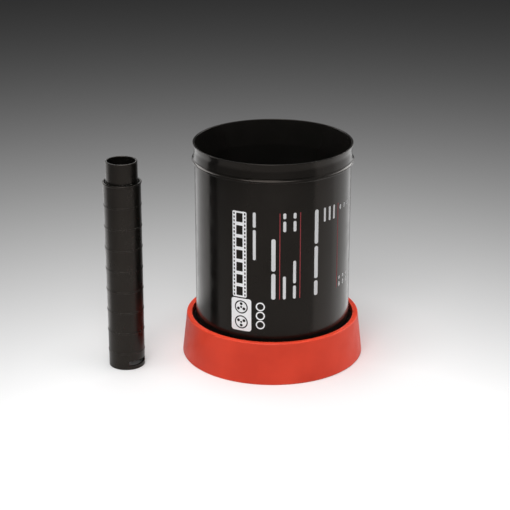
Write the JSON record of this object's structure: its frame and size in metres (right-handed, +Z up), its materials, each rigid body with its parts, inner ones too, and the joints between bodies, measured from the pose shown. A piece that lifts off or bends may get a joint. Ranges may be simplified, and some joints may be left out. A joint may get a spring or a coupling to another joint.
{
  "type": "film developing tank extension module",
  "caption": "Round tube open at both ends that extends a film developing tank, with a turning locking ring at its foot, a sealing ring, and a loose centre core.",
  "frame": {"origin": "on the tank's axis, at the surface that the module stands on, which is the foot of the locking ring", "axes": "+Z up along the tank's axis; the core stands beside the tank on the -X side, and the printed side of the tank faces -Y"},
  "size_m": [0.1604, 0.1134, 0.1372],
  "materials": {
    "tube_plastic": "glossy black moulded plastic",
    "seal_rubber": "matt black rubber",
    "ring_plastic": "satin red-orange moulded plastic",
    "core_plastic": "satin black moulded plastic",
    "print_white": "white printing ink",
    "print_red": "red printing ink"
  },
  "bodies": {
    "tank": {"tank_tube": "tube_plastic", "seal_ring": "seal_rubber"},
    "ring": {"lock_ring": "ring_plastic"},
    "core": {"core_column": "core_plastic"}
  },
  "joints": [
    {"name": "ring_turn", "type": "hinge", "parent": "tank", "child": "ring", "pos_m": [0, 0, 0], "axis": [0, 0, 1], "continuous": true},
    {"name": "core_lift", "type": "slide", "parent": "tank", "child": "core", "axis": [0, 0, 1], "range_m": [0, 0.15]}
  ]
}
